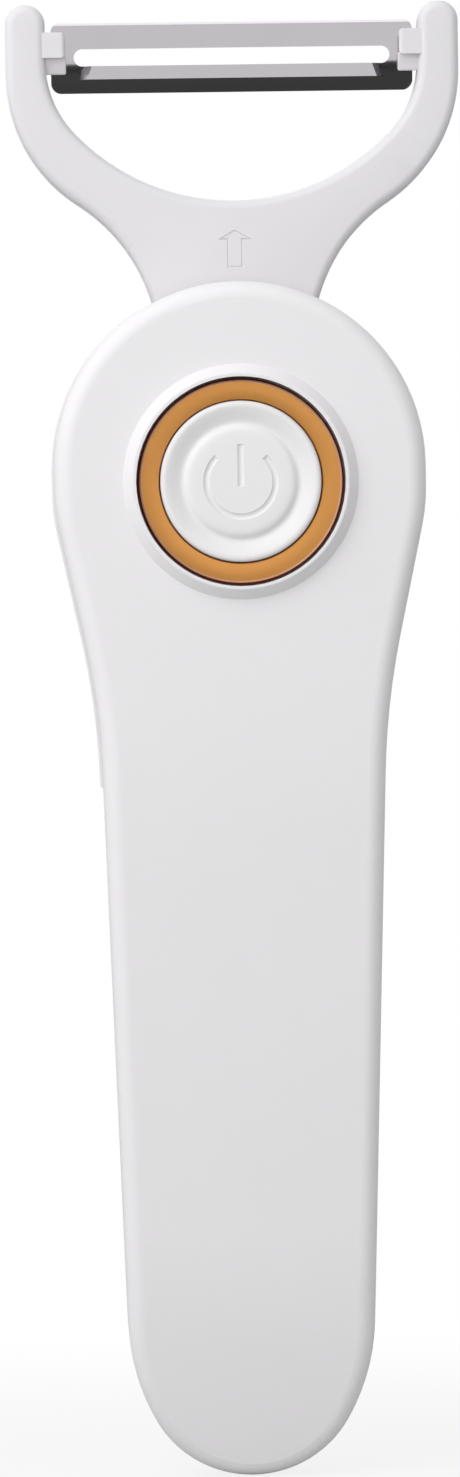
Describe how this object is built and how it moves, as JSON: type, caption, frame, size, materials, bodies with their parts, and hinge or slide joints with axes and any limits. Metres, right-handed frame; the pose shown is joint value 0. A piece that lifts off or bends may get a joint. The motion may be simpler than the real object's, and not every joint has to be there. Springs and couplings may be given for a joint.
{
  "type": "electric potato peeler",
  "caption": "Cordless Y-shaped peeler: a swivelling slotted blade in a fork that a motor shakes from side to side, on a tapered handle with one push button.",
  "frame": {"origin": "on the handle's axis where a hand holds it, in the plane where the front and rear shells meet", "axes": "+Z along the handle towards the blade, -Y out of the button's face, +X to the right seen from the front"},
  "size_m": [0.0644, 0.0286, 0.209],
  "materials": {
    "body_white": "off-white moulded ABS, fine satin texture",
    "head_white": "white moulded POM, satin",
    "trim_copper": "turned ring, copper-gold anodised, satin with a bright edge",
    "blade_steel": "polished stainless steel",
    "inner_plastic": "dark grey moulded inner parts",
    "motor_steel": "zinc plated motor can",
    "rod_steel": "ground steel",
    "bush_bronze": "sintered bronze",
    "seal_rubber": "soft rubber",
    "board_laminate": "green circuit laminate",
    "contact_nickel": "nickel plated spring sheet",
    "cell_sleeve": "plain printed sleeve over a steel cell",
    "lead_insulation": "soft insulated leads",
    "screw_steel": "zinc plated screws"
  },
  "bodies": {
    "handle": {"front_cover": "body_white", "rear_housing": "body_white", "button_ring": "trim_copper", "battery_tray": "inner_plastic", "battery_cell_left": "cell_sleeve", "battery_cell_right": "cell_sleeve", "contact_plates": "contact_nickel", "contact_bridge": "contact_nickel", "switch_body": "inner_plastic", "circuit_board": "board_laminate", "board_screws": "screw_steel", "motor_can": "motor_steel", "motor_end_cap": "inner_plastic", "motor_terminals": "contact_nickel", "drive_frame": "inner_plastic", "guide_rods": "rod_steel", "battery_leads": "lead_insulation", "motor_leads": "lead_insulation", "case_screws": "screw_steel", "tray_screws": "screw_steel", "motor_screws": "screw_steel"},
    "door": {"battery_door": "body_white"},
    "button": {"button_cap": "body_white"},
    "plunger": {"switch_plunger": "inner_plastic"},
    "rotor": {"motor_shaft": "rod_steel", "eccentric_hub": "inner_plastic", "crank_pin": "rod_steel", "crank_roller": "bush_bronze"},
    "carriage": {"drive_carriage": "inner_plastic", "carriage_bushes": "bush_bronze", "post_seal": "seal_rubber"},
    "fork": {"fork_head": "head_white"},
    "blade": {"blade_plate": "blade_steel", "blade_pins": "rod_steel"}
  },
  "joints": [
    {"name": "head_stroke", "type": "slide", "parent": "handle", "child": "carriage", "axis": [1, 0, 0], "range_m": [-0.0008, 0.0008]},
    {"name": "head_release", "type": "slide", "parent": "carriage", "child": "fork", "axis": [0, 0, 1], "range_m": [0, 0.016]},
    {"name": "blade_swivel", "type": "hinge", "parent": "fork", "child": "blade", "pos_m": [0, 0.0056, 0.1404], "axis": [1, 0, 0], "range_deg": [-12, 12]},
    {"name": "motor_spin", "type": "hinge", "parent": "handle", "child": "rotor", "pos_m": [0, 0.0042, 0.06], "axis": [0, 0, 1], "continuous": true},
    {"name": "button_press", "type": "slide", "parent": "handle", "child": "button", "axis": [0, 1, 0], "range_m": [0, 0.0012], "stiffness_N_per_m": 1500, "springref_m": -0.0008},
    {"name": "plunger_press", "type": "slide", "parent": "handle", "child": "plunger", "axis": [0, 1, 0], "range_m": [0, 0.0012]},
    {"name": "door_slide", "type": "slide", "parent": "handle", "child": "door", "axis": [0, 0, -1], "range_m": [0, 0.1]}
  ],
  "couplings": [
    {"joint": "plunger_press", "follows": "button_press", "ratio": 1}
  ]
}
